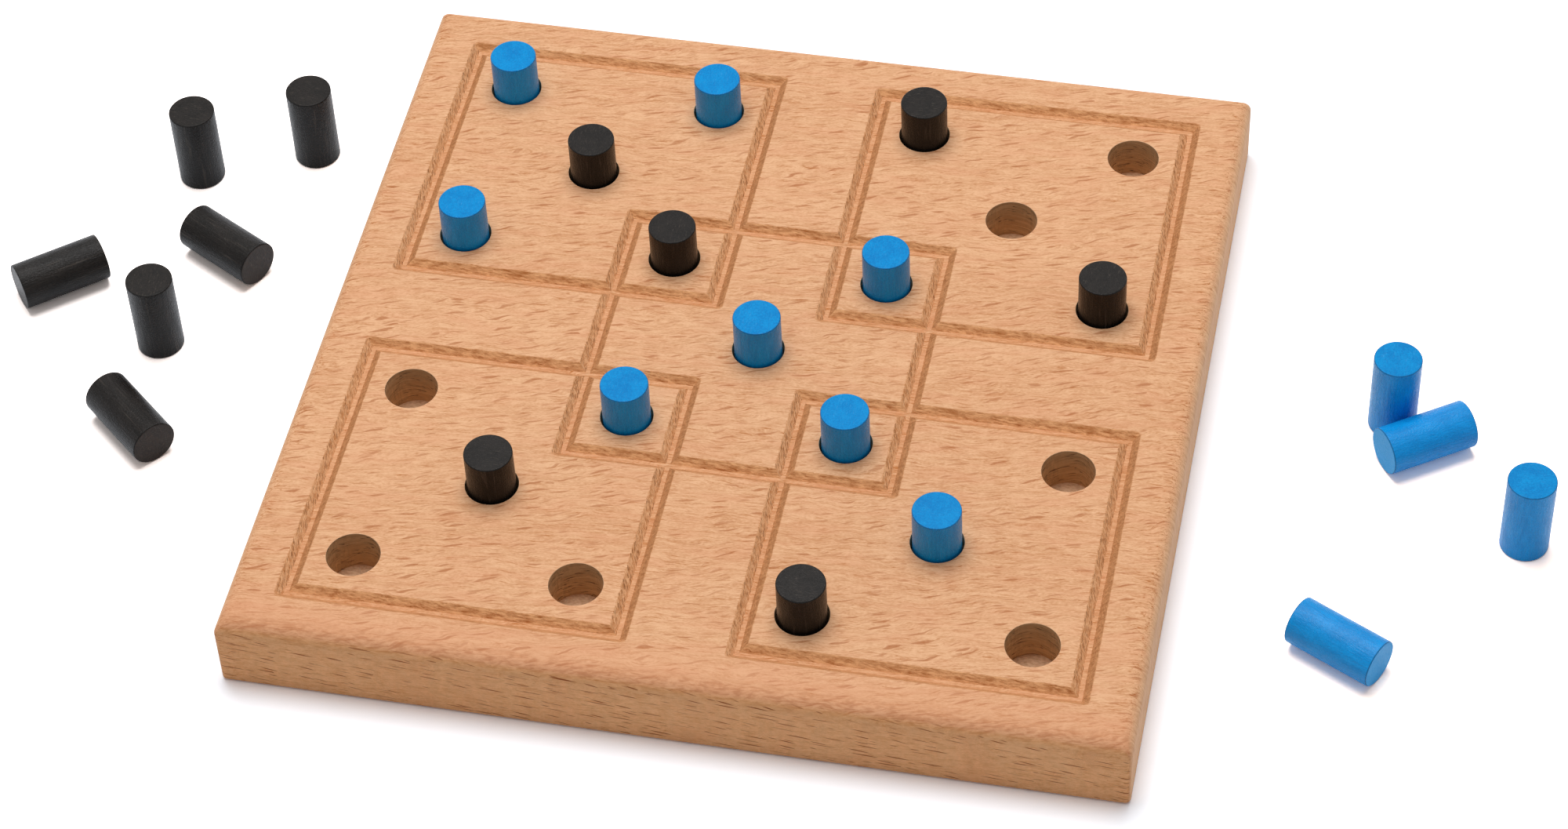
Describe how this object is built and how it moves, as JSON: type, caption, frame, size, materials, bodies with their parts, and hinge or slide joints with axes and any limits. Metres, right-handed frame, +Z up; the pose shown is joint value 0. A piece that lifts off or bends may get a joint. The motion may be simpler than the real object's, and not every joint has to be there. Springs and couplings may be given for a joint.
{
  "type": "peg board game",
  "caption": "Square wooden board with blind peg holes and crossing routed grooves, with blue and black dowel pegs in the holes and loose beside it.",
  "frame": {"origin": "centre of the board's underside, which is also the table's surface under the loose pegs", "axes": "+Z up, square to the board; +X right and +Y away from the viewer, along the board's edges"},
  "size_m": [0.3637, 0.2, 0.0285],
  "materials": {
    "beech": "bare beech, finely sanded, matt",
    "blue_wood": "wood stained and lacquered blue, satin",
    "black_wood": "wood stained and lacquered black, satin"
  },
  "bodies": {
    "board": {"board": "beech"},
    "blue_peg_01": {"blue_peg_01": "blue_wood"},
    "blue_peg_02": {"blue_peg_02": "blue_wood"},
    "blue_peg_03": {"blue_peg_03": "blue_wood"},
    "blue_peg_04": {"blue_peg_04": "blue_wood"},
    "blue_peg_05": {"blue_peg_05": "blue_wood"},
    "blue_peg_06": {"blue_peg_06": "blue_wood"},
    "blue_peg_07": {"blue_peg_07": "blue_wood"},
    "blue_peg_08": {"blue_peg_08": "blue_wood"},
    "blue_peg_09": {"blue_peg_09": "blue_wood"},
    "blue_peg_10": {"blue_peg_10": "blue_wood"},
    "blue_peg_11": {"blue_peg_11": "blue_wood"},
    "blue_peg_12": {"blue_peg_12": "blue_wood"},
    "black_peg_01": {"black_peg_01": "black_wood"},
    "black_peg_02": {"black_peg_02": "black_wood"},
    "black_peg_03": {"black_peg_03": "black_wood"},
    "black_peg_04": {"black_peg_04": "black_wood"},
    "black_peg_05": {"black_peg_05": "black_wood"},
    "black_peg_06": {"black_peg_06": "black_wood"},
    "black_peg_07": {"black_peg_07": "black_wood"},
    "black_peg_08": {"black_peg_08": "black_wood"},
    "black_peg_09": {"black_peg_09": "black_wood"},
    "black_peg_10": {"black_peg_10": "black_wood"},
    "black_peg_11": {"black_peg_11": "black_wood"},
    "black_peg_12": {"black_peg_12": "black_wood"}
  },
  "joints": [
    {"name": "blue_peg_01_lift", "type": "slide", "parent": "board", "child": "blue_peg_01", "axis": [0, 0, 1], "range_m": [0, 0.025]},
    {"name": "blue_peg_02_lift", "type": "slide", "parent": "board", "child": "blue_peg_02", "axis": [0, 0, 1], "range_m": [0, 0.025]},
    {"name": "blue_peg_03_lift", "type": "slide", "parent": "board", "child": "blue_peg_03", "axis": [0, 0, 1], "range_m": [0, 0.025]},
    {"name": "blue_peg_04_lift", "type": "slide", "parent": "board", "child": "blue_peg_04", "axis": [0, 0, 1], "range_m": [0, 0.025]},
    {"name": "blue_peg_05_lift", "type": "slide", "parent": "board", "child": "blue_peg_05", "axis": [0, 0, 1], "range_m": [0, 0.025]},
    {"name": "blue_peg_06_lift", "type": "slide", "parent": "board", "child": "blue_peg_06", "axis": [0, 0, 1], "range_m": [0, 0.025]},
    {"name": "blue_peg_07_lift", "type": "slide", "parent": "board", "child": "blue_peg_07", "axis": [0, 0, 1], "range_m": [0, 0.025]},
    {"name": "blue_peg_08_lift", "type": "slide", "parent": "board", "child": "blue_peg_08", "axis": [0, 0, 1], "range_m": [0, 0.025]},
    {"name": "blue_peg_09_lift", "type": "slide", "parent": "board", "child": "blue_peg_09", "axis": [0, 0, 1], "range_m": [0, 0.025]},
    {"name": "blue_peg_10_lift", "type": "slide", "parent": "board", "child": "blue_peg_10", "axis": [0, 0, 1], "range_m": [0, 0.025]},
    {"name": "blue_peg_11_lift", "type": "slide", "parent": "board", "child": "blue_peg_11", "axis": [0, 0, 1], "range_m": [0, 0.025]},
    {"name": "blue_peg_12_lift", "type": "slide", "parent": "board", "child": "blue_peg_12", "axis": [0, 0, 1], "range_m": [0, 0.025]},
    {"name": "black_peg_01_lift", "type": "slide", "parent": "board", "child": "black_peg_01", "axis": [0, 0, 1], "range_m": [0, 0.025]},
    {"name": "black_peg_02_lift", "type": "slide", "parent": "board", "child": "black_peg_02", "axis": [0, 0, 1], "range_m": [0, 0.025]},
    {"name": "black_peg_03_lift", "type": "slide", "parent": "board", "child": "black_peg_03", "axis": [0, 0, 1], "range_m": [0, 0.025]},
    {"name": "black_peg_04_lift", "type": "slide", "parent": "board", "child": "black_peg_04", "axis": [0, 0, 1], "range_m": [0, 0.025]},
    {"name": "black_peg_05_lift", "type": "slide", "parent": "board", "child": "black_peg_05", "axis": [0, 0, 1], "range_m": [0, 0.025]},
    {"name": "black_peg_06_lift", "type": "slide", "parent": "board", "child": "black_peg_06", "axis": [0, 0, 1], "range_m": [0, 0.025]},
    {"name": "black_peg_07_lift", "type": "slide", "parent": "board", "child": "black_peg_07", "axis": [0, 0, 1], "range_m": [0, 0.025]},
    {"name": "black_peg_08_lift", "type": "slide", "parent": "board", "child": "black_peg_08", "axis": [0, 0, 1], "range_m": [0, 0.025]},
    {"name": "black_peg_09_lift", "type": "slide", "parent": "board", "child": "black_peg_09", "axis": [0, 0, 1], "range_m": [0, 0.025]},
    {"name": "black_peg_10_lift", "type": "slide", "parent": "board", "child": "black_peg_10", "axis": [0, 0, 1], "range_m": [0, 0.025]},
    {"name": "black_peg_11_lift", "type": "slide", "parent": "board", "child": "black_peg_11", "axis": [0, 0, 1], "range_m": [0, 0.025]},
    {"name": "black_peg_12_lift", "type": "slide", "parent": "board", "child": "black_peg_12", "axis": [0, 0, 1], "range_m": [0, 0.025]}
  ]
}
